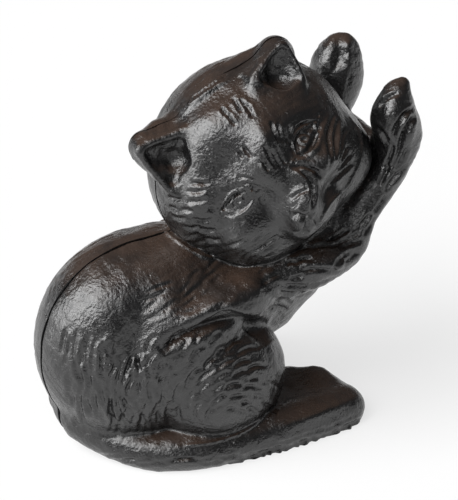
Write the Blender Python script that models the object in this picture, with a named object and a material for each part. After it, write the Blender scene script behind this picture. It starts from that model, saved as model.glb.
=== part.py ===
"""Cast iron kitten doorstop: two hollow half castings drawn together by two machine screws.

The kitten lies on its rump along X and reaches up with both front paws at +X, as if it
pushed the door. Its head is turned to face -Y, so the castings part on the plane Y = 0,
which runs along the spine and through both ears. The near half (-Y) holds the face, the
near foreleg and the tail. The screws enter from the far half (+Y), out of sight.
Lengths are in millimetres up to the point where the meshes are placed.
"""

import math

import bmesh
import bpy
import numpy as np
from mathutils import Matrix, Vector
from mathutils.bvhtree import BVHTree

# Overall size of the figure. The sculpted masses below are drawn at DRAWN_SIZE, and other
# values of the three sizes stretch them along that axis.
LENGTH = 169.0
WIDTH = 95.5
HEIGHT = 173.5
DRAWN_SIZE = (169.0, 95.5, 173.5)

# Castings
WALL = 4.5
JOINT_GAP = 0.3
BASE_RIM = 7.0
BASE_OPENING_HEIGHT = 11.0

# Screws and the bosses that hold them
SCREW_DIAMETER = 5.0
SCREW_HEAD_DIAMETER = 9.0
SCREW_HEAD_HEIGHT = 3.6
SCREW_CHAMFER = 0.6
SLOT_WIDTH = 1.2
SLOT_DEPTH = 1.5
THREAD_REACH = 12.0
HOLE_END_ROOM = 2.5
HEAD_BELOW_SURFACE = 1.5
BOSS_WALL = 4.0
BOSS_DRAFT = math.radians(1.5)
CLEARANCE = 0.3
BODY_SCREW_AT = (-49.0, 52.0)
HEAD_SCREW_AT = (20.0, 124.0)

# Fineness of the meshes, and how many times each is relaxed where masses meet
ROUND_SEGMENTS = 40
FIGURE_VOXEL = 1.4
FIGURE_RELAXED = 12
FIGURE_TRIANGLES = 7400
CORE_VOXEL = 3.0
CORE_RELAXED = 2
CORE_TRIANGLES = 1300

# Where the figure's own X = 0 lies, measured from the middle of the footprint
FIGURE_SHIFT_X = -9.0

STRETCH = Vector(size / drawn for size, drawn in zip((LENGTH, WIDTH, HEIGHT), DRAWN_SIZE))

# Head directions. The head is rolled so that its crown leans back over the rump.
HEAD_ROLL = math.radians(31.0)
HEAD_CENTRE = Vector((24.0, -1.0, 120.3))
HEAD_AXES = Matrix.Rotation(-HEAD_ROLL, 3, "Y")


def on_head(across, up, out):
    """Point given from the head's centre: across the face, towards the crown, out of the face."""
    return HEAD_CENTRE + HEAD_AXES @ Vector((across, -out, up))


# Plain masses of the figure: centre and half sizes
RUMP = ((-28.5, 0, 45), (47.5, 38.5, 46.5))
SEAT = ((-20, 0, 5), (37, 34, 20))
BACK = ((-39.5, 0, 52), (34.8, 31, 38.6))
CHEST = ((51, 0, 84), (19, 26, 28))
THROAT = ((60, 0, 104), (9, 20, 22))
HAUNCH = ((-4.5, 25.5, 29.5), (31.5, 17.5, 28.5))

# Masses of the head, placed across, up and out from its centre, with half sizes in that order
SKULL = (45.5, 43.0, 41.5)
CHEEKS = [((-16, -14, 16), (20, 17, 20)), ((24, -14, 16), (20, 17, 20))]
MUZZLE = ((4, -10, 34), (13, 11, 12))
NOSE = ((2.5, 1.5, 42.5), (4.6, 3.6, 3.2))

# Limbs: points along the middle with the radius there
TORSO = [(-20, 0, 54, 35), (4, 0, 62, 30), (28, 0, 72, 26), (40, 0, 84, 22)]
FLANK = [(-30, -22, 60, 12), (-18, -24, 64, 14), (-4, -25, 68, 14), (10, -23, 73, 13), (22, -20, 78, 12)]
NEAR_FORELEG = [
    (30, -22, 76, 14),
    (37, -23.2, 76.5, 13.2),
    (45, -23.5, 77.5, 12.2),
    (51.7, -23.5, 78.2, 10.8),
    (58.6, -24, 83, 9.8),
    (63.7, -24, 93.3, 8.6),
    (70.8, -24, 101.6, 8),
    (76.9, -24, 109.1, 8.1),
    (80.3, -24, 114.2, 8.2),
    (82.4, -23.7, 120.9, 9.3),
    (83.1, -23.5, 127, 10.5),
    (81, -23.5, 134.6, 10.4),
    (81, -23.5, 139, 9),
    (81.3, -23.5, 142.9, 7.6),
    (82, -23.5, 146.7, 5.8),
    (84.2, -23.5, 150.1, 3.2),
]
FAR_FORELEG = [
    (30, 22, 76, 14),
    (46, 23, 78, 13),
    (58, 24, 88, 11.5),
    (65, 24, 103, 10.3),
    (70.2, 24, 117.7, 10.3),
    (74.1, 24, 122.6, 10.9),
    (77.8, 24, 127.6, 11.7),
    (80, 24, 133.5, 12.2),
    (80.6, 24, 139.7, 11.6),
    (82.1, 24, 145.6, 8.9),
    (83.9, 24, 150, 4.8),
]
BREAST = [(28.8, 0, 51.3, 18.5), (40, 0, 59.5, 17.5)]

# Web of iron between the head and the forelegs, set back from their faces: its middle line, which
# is repeated to either side
WEB = [(75.1, 0, 116.9, 8.3), (76.1, 0, 106.7, 8.8), (70.7, 0, 95.7, 9), (57.6, 0, 88.3, 9)]
WEB_LINES = (-9, -3, 3, 9)

TAIL = [
    (-59.6, 8, 19.5, 9.5),
    (-59.3, -4, 14, 9.2),
    (-50.2, -18, 9, 8.6),
    (-40.3, -28.2, 7, 8.8),
    (-31.5, -33.4, 6.8, 9.1),
    (-18, -37.6, 6.5, 9.3),
    (2, -39.3, 6.5, 9.3),
    (20, -39.7, 6.8, 9.3),
    (37, -39.5, 6.8, 9.2),
    (47, -38.3, 6, 9),
    (51.8, -36.8, 5.2, 8.6),
]
FAR_HIND_FOOT = [(-6, 33, 7, 13), (22, 35, 6.5, 12), (38, 33.5, 5.5, 10.5)]

# The hind foot and the tail's end lie side by side under one flat-topped skin
FOOT_AND_TAIL_END = [
    (-8, -20, 6, 13),
    (38, -12.5, 5.5, 10.5),
    (49, -20.5, 5, 9.5),
    (16, -39.3, 6.5, 9.3),
    (40, -39.3, 6.5, 9.2),
    (51.8, -36.8, 5.2, 8.6),
]

# Ears: the two lower corners of the opening, the rounded tip with its radius, then the round back
# with its radius
LEFT_EAR = ((-11, -7, 143), (-20.5, -14, 124), (-30.5, -2, 137.6), 5.0, (-18.9, 2, 138.2), 8.2)
RIGHT_EAR = ((15.5, -8, 162.5), (39.5, -15, 159), (34.5, -2, 169.2), 5.2, (32.7, 2, 164.9), 8.4)
EAR_RIM = 3.2
EAR_ROOT = 12.0
EAR_ROOT_BEHIND = 9.0
EAR_DISH_DEPTH = 7.0
EAR_DISH_EDGE = 1.8
EAR_DISH_INSET = 0.2

# Creases pressed into the skin, as (X, Z) points seen from the side, with a half width and a
# depth. A negative depth raises the skin.
HAUNCH_FOLD = [(-36, 56), (-28, 60.5), (-20, 63.5), (-12, 65), (-4, 64.5), (5, 61), (13, 55), (19, 47)]
FLANK_HOLLOW = [(-49, 73), (-49.5, 65), (-49.5, 56), (-47, 45), (-43, 35)]
HAUNCH_FOLD_SIZE = {"width": 7.0, "depth": 4.5}
FLANK_HOLLOW_SIZE = {"width": 13.0, "depth": 2.6}
NEAR_EYE = [(-6.0, 116.6), (0, 121), (6.2, 123.6)]
FAR_EYE = [(26.4, 139.8), (31.5, 143.4), (37.6, 146)]
EYE_SOCKET_SIZE = {"width": 4.8, "depth": 2.2}
EYEBALL_SIZE = {"width": 3.8, "depth": -2.0}
MOUTH = [(18.6, 112.6), (22.5, 114.2), (25.4, 112), (28.2, 113.8), (31.5, 117.4)]
PHILTRUM = [(25.6, 117.5), (25.4, 112)]
LINE_SIZE = {"width": 2.4, "depth": 1.3}
TOES = [
    [(76.5, 144), (78, 139), (78.5, 133)],
    [(81, 147), (82, 142), (82, 135)],
    [(86, 145), (87, 140), (86.5, 133)],
]


def smooth_path(points, steps=3):
    """Curve through the given rows, radius included, with some steps between each two."""
    rows = [np.array(p, float) for p in points]
    rows = [2 * rows[0] - rows[1]] + rows + [2 * rows[-1] - rows[-2]]
    path = []
    for a, b, c, d in zip(rows, rows[1:], rows[2:], rows[3:]):
        for i in range(steps):
            t = i / steps
            path.append(
                0.5 * (2 * b + (c - a) * t + (2 * a - 5 * b + 4 * c - d) * t**2 + (3 * b - 3 * c + d - a) * t**3)
            )
    return path + [rows[-2]]


def add_ball(bm, centre, half_sizes, axes=None, fineness=4):
    """Ellipsoid, turned by axes when given."""
    turn = (axes or Matrix.Identity(3)).to_4x4()
    place = Matrix.Translation(Vector(centre)) @ turn @ Matrix.Diagonal((*half_sizes, 1.0))
    bmesh.ops.create_icosphere(bm, subdivisions=fineness, radius=1.0, matrix=place)


def add_head_ball(bm, middle, half_sizes, thinner=0.0):
    """Ellipsoid placed and measured across the face, towards the crown and out of the face."""
    across, up, out = (size - thinner for size in half_sizes)
    add_ball(bm, on_head(*middle), (across, out, up), HEAD_AXES, fineness=5)


def add_hull(bm, balls):
    """Skin drawn tight over a few balls, each given as x, y, z, radius."""
    part = bmesh.new()
    for x, y, z, radius in balls:
        add_ball(part, (x, y, z), (radius,) * 3, fineness=3)
    result = bmesh.ops.convex_hull(part, input=part.verts)
    spare = {v for v in result["geom_interior"] + result["geom_unused"] if isinstance(v, bmesh.types.BMVert)}
    bmesh.ops.delete(part, geom=list(spare), context="VERTS")
    joined = bpy.data.meshes.new("hull")
    part.to_mesh(joined)
    part.free()
    bm.from_mesh(joined)
    bpy.data.meshes.remove(joined)


def add_limb(bm, points, thinner=0.0):
    """Tapered round limb along a smooth path."""
    path = [(x, y, z, radius - thinner) for x, y, z, radius in smooth_path(points)]
    for start, end in zip(path, path[1:]):
        add_hull(bm, [start, end])


def add_ear(bm, corner_a, corner_b, tip, tip_radius, back, back_radius):
    """Ear with a flat triangular front, a round back and a dished opening."""
    a, b, tip = Vector(corner_a), Vector(corner_b), Vector(tip)
    out = (b - a).cross(tip - a).normalized()
    if out.y > 0:
        out = -out
    root = (a + b) / 2 - out * EAR_ROOT_BEHIND + ((a + b) / 2 - tip).normalized() * EAR_ROOT_BEHIND
    solid = bmesh.new()
    add_hull(solid, [(*a, EAR_RIM), (*b, EAR_RIM), (*tip, tip_radius), (*root, EAR_ROOT), (*back, back_radius)])
    ear = make_object("ear", solid)

    centre = (a + b + tip) / 3
    front = out * (EAR_RIM + EAR_DISH_EDGE / 2)
    floor = centre + out * (EAR_RIM + EAR_RIM - EAR_DISH_DEPTH)
    corners = [corner.lerp(centre, EAR_DISH_INSET) + front for corner in (a, b, tip)]
    dish = bmesh.new()
    add_hull(dish, [(*corner, EAR_DISH_EDGE) for corner in corners] + [(*floor, EAR_RIM)])
    cut(ear, make_object("dish", dish))
    bm.from_mesh(ear.data)
    bpy.data.objects.remove(ear)


def make_object(name, bm):
    mesh = bpy.data.meshes.new(name)
    bm.to_mesh(mesh)
    bm.free()
    thing = bpy.data.objects.new(name, mesh)
    bpy.context.scene.collection.objects.link(thing)
    return thing


def bake(thing):
    """Turn an object's modifiers into plain mesh."""
    graph = bpy.context.evaluated_depsgraph_get()
    mesh = bpy.data.meshes.new_from_object(thing.evaluated_get(graph))
    thing.modifiers.clear()
    thing.data = mesh


def blend(thing, voxel, relaxed):
    """Fuse overlapping masses into one skin and soften the places where they meet."""
    remesh = thing.modifiers.new("fuse", "REMESH")
    remesh.mode = "VOXEL"
    remesh.voxel_size = voxel
    soften = thing.modifiers.new("soften", "SMOOTH")
    soften.factor = 0.5
    soften.iterations = relaxed
    bake(thing)


def thin_out(thing, triangles, keep=()):
    """Thin the mesh to about so many triangles, leaving the vertices to keep as fine as they are."""
    thing.data.calc_loop_triangles()
    group = thing.vertex_groups.new(name="fine")
    group.add(list(keep), 1.0, "REPLACE")
    thin = thing.modifiers.new("thin", "DECIMATE")
    if keep:
        thin.vertex_group = group.name
        thin.invert_vertex_group = True
    thin.ratio = min(1.0, triangles / len(thing.data.loop_triangles))
    bake(thing)


def cut(thing, cutter, operation="DIFFERENCE"):
    """Boolean with another object, which is used up."""
    modifier = thing.modifiers.new("cut", "BOOLEAN")
    modifier.operation = operation
    modifier.solver = "EXACT"
    modifier.object = cutter
    bake(thing)
    bpy.data.objects.remove(cutter)


def press(thing, points, width, depth, side=-1):
    """Push a rounded crease into one side of the skin, along a path seen from that side."""
    mesh = thing.data
    count = len(mesh.vertices)
    place = np.empty(count * 3)
    mesh.vertices.foreach_get("co", place)
    place = place.reshape(-1, 3)
    normal = np.array([v.normal[:] for v in mesh.vertices])
    path = points * 2
    if len(points) > 1:
        path = [row[:2] for row in smooth_path([(x, z, 0) for x, z in points])]
    flat = place[:, [0, 2]]
    nearest = np.full(count, 1e9)
    for start, end in zip(path, path[1:]):
        start = np.array(start, float)
        run = np.array(end, float) - start
        along = np.clip((flat - start) @ run / max(run @ run, 1e-9), 0, 1)
        nearest = np.minimum(nearest, np.linalg.norm(flat - start - along[:, None] * run, axis=1))
    reach = np.clip(1 - (nearest / width) ** 2, 0, 1) ** 2
    facing = np.clip(side * normal[:, 1] * 2.5, 0, 1)
    place -= normal * (depth * reach * facing)[:, None]
    mesh.vertices.foreach_set("co", place.ravel())
    mesh.update()
    return np.nonzero(reach * facing > 0)[0].tolist()


def press_body(thing):
    """Creases of the body, which the skin and the core share so that the wall keeps its thickness."""
    press(thing, FLANK_HOLLOW, **FLANK_HOLLOW_SIZE)
    for side in (-1, 1):
        press(thing, HAUNCH_FOLD, **HAUNCH_FOLD_SIZE, side=side)


def figure():
    """The whole kitten as one skin: the shape that the foundry pattern has."""
    bm = bmesh.new()
    for centre, half_sizes in (RUMP, BACK, SEAT, CHEST, THROAT):
        add_ball(bm, centre, half_sizes, fineness=5)
    (x, y, z), half_sizes = HAUNCH
    for side in (-1, 1):
        add_ball(bm, (x, side * y, z), half_sizes, fineness=5)
    for limb in (TORSO, FLANK, NEAR_FORELEG, FAR_FORELEG, BREAST, TAIL, FAR_HIND_FOOT):
        add_limb(bm, limb)
    add_limb(bm, [(x, -y, z, radius) for x, y, z, radius in FLANK])
    for shift in WEB_LINES:
        add_limb(bm, [(x, y + shift, z, radius) for x, y, z, radius in WEB])
    add_hull(bm, FOOT_AND_TAIL_END)
    add_head_ball(bm, (0, 0, 0), SKULL)
    for middle, half_sizes in (*CHEEKS, MUZZLE, NOSE):
        add_head_ball(bm, middle, half_sizes)
    for ear in (LEFT_EAR, RIGHT_EAR):
        add_ear(bm, *ear)
    skin = make_object("figure", bm)
    blend(skin, FIGURE_VOXEL, FIGURE_RELAXED)
    press_body(skin)
    fine = []
    for eye in (NEAR_EYE, FAR_EYE):
        fine += press(skin, eye, **EYE_SOCKET_SIZE)
        fine += press(skin, eye[1:2], **EYEBALL_SIZE)
    for line in (MOUTH, PHILTRUM):
        fine += press(skin, line, **LINE_SIZE)
    for toe in TOES:
        press(skin, toe, **LINE_SIZE)
    thin_out(skin, FIGURE_TRIANGLES, keep=fine)
    return skin


def core():
    """The hollow inside: the large masses, a wall's thickness smaller, open at the base."""
    bm = bmesh.new()
    (x, y, z), half_sizes = HAUNCH
    for side in (-1, 1):
        add_ball(bm, (x, side * y, z), [size - WALL for size in half_sizes])
    add_ball(bm, RUMP[0], [size - WALL for size in RUMP[1]])
    add_limb(bm, TORSO, thinner=WALL)
    add_head_ball(bm, (0, 0, 0), SKULL, thinner=WALL)
    (x, y, _), (half_x, half_y, _) = SEAT
    bmesh.ops.create_cone(
        bm,
        cap_ends=True,
        segments=ROUND_SEGMENTS,
        radius1=1.0,
        radius2=1.0,
        depth=1.0,
        matrix=Matrix.Translation((x, y, 0))
        @ Matrix.Diagonal((half_x - BASE_RIM, half_y - BASE_RIM, 2 * BASE_OPENING_HEIGHT, 1)),
    )
    hollow = make_object("core", bm)
    blend(hollow, CORE_VOXEL, CORE_RELAXED)
    press_body(hollow)
    thin_out(hollow, CORE_TRIANGLES)
    return hollow


def box(name, low, high):
    bm = bmesh.new()
    size = Vector(high) - Vector(low)
    middle = (Vector(high) + Vector(low)) / 2
    bmesh.ops.create_cube(bm, size=1.0, matrix=Matrix.Translation(middle) @ Matrix.Diagonal((*size, 1)))
    return make_object(name, bm)


def rod(name, radius_start, radius_end, start, end):
    """Round rod or cone between two points given as x, y, z on a line along Y."""
    bm = bmesh.new()
    length = end[1] - start[1]
    turn = Matrix.Rotation(-math.pi / 2, 4, "X")
    middle = (Vector(start) + Vector(end)) / 2
    bmesh.ops.create_cone(
        bm,
        cap_ends=True,
        segments=ROUND_SEGMENTS,
        radius1=radius_start,
        radius2=radius_end,
        depth=length,
        matrix=Matrix.Translation(middle) @ turn,
    )
    return make_object(name, bm)


def screw_places(skin):
    """Screw axes, with the seat under each head as deep in the far half as the head needs."""
    tree = BVHTree.FromPolygons([v.co for v in skin.data.vertices], [p.vertices for p in skin.data.polygons])
    places = []
    for x, z in (BODY_SCREW_AT, HEAD_SCREW_AT):
        x, z = x * STRETCH.x, z * STRETCH.z
        surface = tree.ray_cast(Vector((x, 2 * WIDTH, z)), Vector((0, -1, 0)))[0].y
        places.append((x, z, surface - HEAD_BELOW_SURFACE - SCREW_HEAD_HEIGHT - CLEARANCE))
    return places


def drill(half, side, places):
    """Holes of one half: clearance hole and recess in the far one, blind hole in the near one."""
    for x, z, seat in places:
        hole = SCREW_DIAMETER / 2 + CLEARANCE
        if side > 0:
            cut(half, rod("hole", hole, hole, (x, -1, z), (x, WIDTH, z)))
            recess = SCREW_HEAD_DIAMETER / 2 + CLEARANCE
            cut(half, rod("recess", recess, recess, (x, seat, z), (x, WIDTH, z)))
        else:
            cut(half, rod("hole", hole, hole, (x, -THREAD_REACH - HOLE_END_ROOM, z), (x, 1, z)))


def cored(hollow, places):
    """Copy of the core with the screw bosses left standing in it."""
    thing = make_copy(hollow, "core_with_bosses")
    top = SCREW_DIAMETER / 2 + CLEARANCE + BOSS_WALL
    root = top + math.tan(BOSS_DRAFT) * WIDTH
    for x, z, _ in places:
        cut(thing, rod("near_boss", root, top, (x, -WIDTH, z), (x, 0.01, z)))
        cut(thing, rod("far_boss", top, root, (x, -0.01, z), (x, WIDTH, z)))
    return thing


def make_copy(thing, name):
    twin = bpy.data.objects.new(name, thing.data.copy())
    bpy.context.scene.collection.objects.link(twin)
    return twin


def half_casting(name, skin, hollow, side, places):
    """One half: the skin cut at the joint and the floor, hollowed, with its screw bosses."""
    half = make_copy(skin, name)
    far = 2 * LENGTH
    joint = side * JOINT_GAP / 2
    low, high = sorted((joint, side * far))
    cut(half, box("half_space", (-far, low, 0), (far, high, far)), "INTERSECT")
    cut(half, cored(hollow, places))
    drill(half, side, places)
    return half


def screw(name, x, z, seat):
    """Slotted cheese head machine screw, lying along Y with its head at the far side."""
    tip = -THREAD_REACH
    under_head = seat + CLEARANCE
    radius = SCREW_DIAMETER / 2
    bm = bmesh.new()
    profile = [
        (0, tip),
        (radius - SCREW_CHAMFER, tip),
        (radius, tip + SCREW_CHAMFER),
        (radius, under_head),
        (SCREW_HEAD_DIAMETER / 2, under_head),
        (SCREW_HEAD_DIAMETER / 2, under_head + SCREW_HEAD_HEIGHT - SCREW_CHAMFER),
        (SCREW_HEAD_DIAMETER / 2 - SCREW_CHAMFER, under_head + SCREW_HEAD_HEIGHT),
        (0, under_head + SCREW_HEAD_HEIGHT),
    ]
    points = [bm.verts.new((x + r, y, z)) for r, y in profile]
    edges = [bm.edges.new(pair) for pair in zip(points, points[1:])]
    bmesh.ops.spin(
        bm, geom=edges, cent=(x, 0, z), axis=(0, 1, 0), dvec=(0, 0, 0), angle=math.tau, steps=ROUND_SEGMENTS, use_merge=True
    )
    bmesh.ops.remove_doubles(bm, verts=bm.verts, dist=0.001)
    bmesh.ops.recalc_face_normals(bm, faces=bm.faces)
    thing = make_object(name, bm)
    top = under_head + SCREW_HEAD_HEIGHT
    reach = SCREW_HEAD_DIAMETER
    cut(
        thing,
        box("slot", (x - reach, top - SLOT_DEPTH, z - SLOT_WIDTH / 2), (x + reach, top + 1, z + SLOT_WIDTH / 2)),
    )
    return thing


def stretch(thing):
    for vertex in thing.data.vertices:
        vertex.co = vertex.co * STRETCH


def paint(thing, name, colour, roughness, metallic):
    material = bpy.data.materials.new(name)
    material.use_nodes = True
    shader = material.node_tree.nodes["Principled BSDF"]
    shader.inputs["Base Color"].default_value = (*colour, 1)
    shader.inputs["Roughness"].default_value = roughness
    shader.inputs["Metallic"].default_value = metallic
    thing.data.materials.clear()
    thing.data.materials.append(material)


def place(thing, carrier, smooth_below):
    """Bring a finished piece to metres and hang it on the empty that sets the part's origin."""
    thing.data.transform(Matrix.Scale(0.001, 4))
    thing.data.shade_smooth()
    thing.data.set_sharp_from_angle(angle=math.radians(smooth_below))
    thing.parent = carrier


def build():
    for old in list(bpy.data.objects):
        bpy.data.objects.remove(old)
    carrier = bpy.data.objects.new("footprint_centre", None)
    carrier.location = (FIGURE_SHIFT_X * STRETCH.x / 1000, 0, 0)
    bpy.context.scene.collection.objects.link(carrier)

    skin = figure()
    hollow = core()
    stretch(skin)
    stretch(hollow)
    places = screw_places(skin)
    near = half_casting("near_half_casting", skin, hollow, -1, places)
    far = half_casting("far_half_casting", skin, hollow, 1, places)
    for spare in (skin, hollow):
        bpy.data.objects.remove(spare)
    paint(near, "near_lacquered_iron", (0.030, 0.026, 0.025), 0.42, 0.35)
    paint(far, "far_lacquered_iron", (0.028, 0.025, 0.024), 0.44, 0.35)
    place(near, carrier, 50)
    place(far, carrier, 50)

    for name, (x, z, seat) in zip(("body_screw", "head_screw"), places):
        piece = screw(name, x, z, seat)
        paint(piece, name + "_steel", (0.10, 0.09, 0.085), 0.38, 0.9)
        place(piece, carrier, 40)


build()
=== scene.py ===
import math

import bmesh
import bpy
import numpy as np
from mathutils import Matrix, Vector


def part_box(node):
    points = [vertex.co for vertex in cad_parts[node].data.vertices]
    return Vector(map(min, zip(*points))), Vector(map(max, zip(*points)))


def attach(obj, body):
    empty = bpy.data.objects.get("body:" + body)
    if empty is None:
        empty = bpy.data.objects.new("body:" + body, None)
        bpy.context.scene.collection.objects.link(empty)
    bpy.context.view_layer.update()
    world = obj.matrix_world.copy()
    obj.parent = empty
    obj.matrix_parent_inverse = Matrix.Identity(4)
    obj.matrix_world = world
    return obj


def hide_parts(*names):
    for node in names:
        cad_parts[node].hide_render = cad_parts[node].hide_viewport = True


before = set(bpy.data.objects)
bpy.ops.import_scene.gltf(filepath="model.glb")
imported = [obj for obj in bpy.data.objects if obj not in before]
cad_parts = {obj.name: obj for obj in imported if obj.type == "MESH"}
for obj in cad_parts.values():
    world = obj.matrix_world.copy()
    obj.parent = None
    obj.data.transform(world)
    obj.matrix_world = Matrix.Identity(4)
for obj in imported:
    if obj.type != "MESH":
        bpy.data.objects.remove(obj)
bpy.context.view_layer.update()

import openvdb
from mathutils import Matrix, Vector

# Near half casting
# The half of the kitten that faces the room, poured hollow in grey iron: face, near foreleg,
# haunch, hind foot and tail. Its pattern was modelled by hand, so the fur is cut into it
# stroke by stroke. It is coated with black-brown lacquer and drawn to the far half by screws.

# Lengths are in millimetres, in the figure's own frame, until a mesh is finished
MM = 0.001
FIGURE_X = -9.0
WALL = 4.5
LEAST_WALL = 0.7 * WALL
JOINT_GAP = 0.3
BASE_RIM = 7.0
BASE_OPENING_HEIGHT = 11.0
HEAD_ROLL = math.radians(31)
HEAD_CENTRE = np.array([24.0, -1.0, 120.3])
HEAD_AXES = np.array(
    [
        [math.cos(HEAD_ROLL), 0, math.sin(HEAD_ROLL)],
        [0, -1.0, 0],
        [-math.sin(HEAD_ROLL), 0, math.cos(HEAD_ROLL)],
    ]
)


def on_head(across, up, out):
    """Point given from the head's centre: across the face, towards the crown, out of the face."""
    return HEAD_CENTRE + np.array([across, out, up]) @ HEAD_AXES


def unit(v):
    return np.asarray(v, float) / np.linalg.norm(v)


def ball(p, centre, half_sizes, axes=None):
    """Distance from points to an ellipsoid."""
    q = p - np.asarray(centre, np.float32)
    if axes is not None:
        q = q @ axes.T.astype(np.float32)
    sizes = np.asarray(half_sizes, np.float32)
    far = np.linalg.norm(q / sizes, axis=1)
    steepness = np.linalg.norm(q / sizes**2, axis=1)
    return far * (far - 1) / np.maximum(steepness, 1e-6)


def head_ball(p, middle, half_sizes):
    """Distance to an ellipsoid of the head, placed and measured across, up and out."""
    across, up, out = half_sizes
    return ball(p, on_head(*middle), (across, out, up), HEAD_AXES)


def smooth_path(points, steps):
    """Curve through rows of numbers, with some steps between each two."""
    rows = np.asarray(points, float)
    rows = np.vstack([2 * rows[0] - rows[1], rows, 2 * rows[-1] - rows[-2]])
    path = []
    for a, b, c, d in zip(rows, rows[1:], rows[2:], rows[3:]):
        for t in np.linspace(0, 1, steps, endpoint=False):
            straight = 2 * b + (c - a) * t
            bend = (2 * a - 5 * b + 4 * c - d) * t**2
            turn = (3 * b - 3 * c + d - a) * t**3
            path.append(0.5 * (straight + bend + turn))
    return np.array(path + [rows[-2]], np.float32)


def limb(p, points, steps=2):
    """Distance to a tapered round limb through rows of x, y, z, radius."""
    path = smooth_path(points, steps)
    near = np.full(len(p), 1e9, np.float32)
    for start, end in zip(path, path[1:]):
        run = end[:3] - start[:3]
        t = np.clip((p - start[:3]) @ run / float(run @ run), 0, 1)
        off = np.linalg.norm(p - start[:3] - t[:, None] * run, axis=1)
        near = np.minimum(near, off - start[3] - t * (end[3] - start[3]))
    return near


def plate(p, corners, half_thickness):
    """Distance to a flat plate with rounded edges, given by corners that go round it."""
    near = np.full(len(p), 1e9, np.float32)
    first = np.asarray(corners[0], np.float32)
    for b, c in zip(corners[1:], corners[2:]):
        points = [first, np.asarray(b, np.float32), np.asarray(c, np.float32)]
        flat = np.cross(points[1] - first, points[2] - first)
        inside = np.ones(len(p), bool)
        edge = np.full(len(p), 1e9, np.float32)
        for start, end in zip(points, points[1:] + points[:1]):
            run = end - start
            q = p - start
            inside &= (q @ np.cross(flat, run)) >= 0
            t = np.clip(q @ run / float(run @ run), 0, 1)
            edge = np.minimum(edge, np.linalg.norm(q - t[:, None] * run, axis=1))
        above = np.abs((p - first) @ flat) / np.linalg.norm(flat)
        near = np.minimum(near, np.where(inside, above, edge))
    return near - half_thickness


def join(a, b, softness):
    """Union of two distances with a fillet where they meet."""
    h = np.maximum(softness - np.abs(a - b), 0) / softness
    return np.minimum(a, b) - h * h * softness / 4


def trim(a, b, softness):
    """What is inside both of two distances, with a rounded edge between them."""
    return -join(-a, -b, softness)


# Plain masses of the figure: centre and half sizes
RUMP = ((-28.5, 0, 45), (47.5, 38.5, 46.5))
SEAT = ((-20, 0, 5), (37, 34, 20))
BACK = ((-39.5, 0, 52), (34.8, 31, 38.6))
CHEST = ((51, 0, 84), (19, 26, 28))
THROAT = ((60, 0, 104), (9, 20, 22))
HAUNCH = ((-4.5, 23.0, 31.0), (31.5, 24.5, 30.0))

# Masses of the head, placed across, up and out from its centre, with half sizes in that order
SKULL = (45.5, 43.0, 41.5)
MUZZLE = ((4, -10, 34), (13, 11, 12))
CHEEKS = [((-16, -16, 14), (20, 17, 20)), ((24, -16, 14), (20, 17, 20))]

# Limbs: points along the middle with the radius there
TORSO = [(-20, 0, 54, 35), (4, 0, 62, 30), (28, 0, 72, 26), (40, 0, 84, 22)]
FLANK = [
    (-34, -25, 56, 8),
    (-20, -28, 62, 10.5),
    (-4, -29, 68, 10.5),
    (10, -28, 73, 10),
    (22, -24, 78, 9),
]
NEAR_FORELEG = [
    (30, -22, 76, 14),
    (37, -23.2, 76.5, 13.2),
    (45, -23.5, 77.5, 12.2),
    (51.7, -23.5, 78.2, 10.8),
    (58.6, -24, 83, 9.8),
    (63.7, -24, 93.3, 8.6),
    (70.8, -24, 101.6, 8),
    (76.9, -24, 109.1, 8.1),
    (80.3, -24, 114.2, 8.2),
    (82.4, -23.7, 120.9, 9.3),
    (83.1, -23.5, 127, 10.5),
    (81, -23.5, 134.6, 10.4),
    (81, -23.5, 139, 9),
    (81.3, -23.5, 142.9, 7.6),
    (82, -23.5, 146.7, 5.8),
    (84.2, -23.5, 150.1, 3.2),
]
FAR_FORELEG = [
    (30, 22, 76, 14),
    (46, 23, 78, 13),
    (58, 24, 88, 11.5),
    (65, 24, 103, 10.3),
    (70.2, 24, 117.7, 10.3),
    (74.1, 24, 122.6, 10.9),
    (77.8, 24, 127.6, 11.7),
    (80, 24, 133.5, 12.2),
    (80.6, 24, 139.7, 11.6),
    (82.1, 24, 145.6, 8.9),
    (83.9, 24, 150, 4.8),
]
BREAST = [(28.8, 0, 51.3, 18.5), (40, 0, 59.5, 17.5)]

# Web of iron between the head and the forelegs: its middle line, and how far it reaches to
# either side before it rounds off
WEB = [(75.1, 0, 116.9, 8.3), (76.1, 0, 106.7, 8.8), (70.7, 0, 95.7, 9), (57.6, 0, 88.3, 9)]
WEB_REACH = 9

TAIL = [
    (-59.6, 8, 19.5, 9.5),
    (-59.3, -4, 14, 9.2),
    (-50.2, -18, 9, 8.6),
    (-40.3, -28.2, 7, 8.8),
    (-31.5, -33.4, 6.8, 9.1),
    (-18, -37.6, 6.5, 9.3),
    (2, -39.3, 6.5, 9.3),
    (20, -39.7, 6.8, 9.3),
    (37, -39.5, 6.8, 9.2),
    (47, -38.3, 6, 9),
    (51.8, -36.8, 5.2, 8.6),
]
FAR_HIND_FOOT = [(-6, 33, 7, 13), (22, 35, 6.5, 12), (38, 33.5, 5.5, 10.5)]

# The hind foot's flat top, which the tail's end lies against
HIND_FOOT = [(-8, -20, 6), (38, -12.5, 5.5), (49, -20.5, 5), (51.8, -36.8, 5.2), (16, -39.3, 6.5)]
HIND_FOOT_HALF_THICKNESS = 9.2

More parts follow.
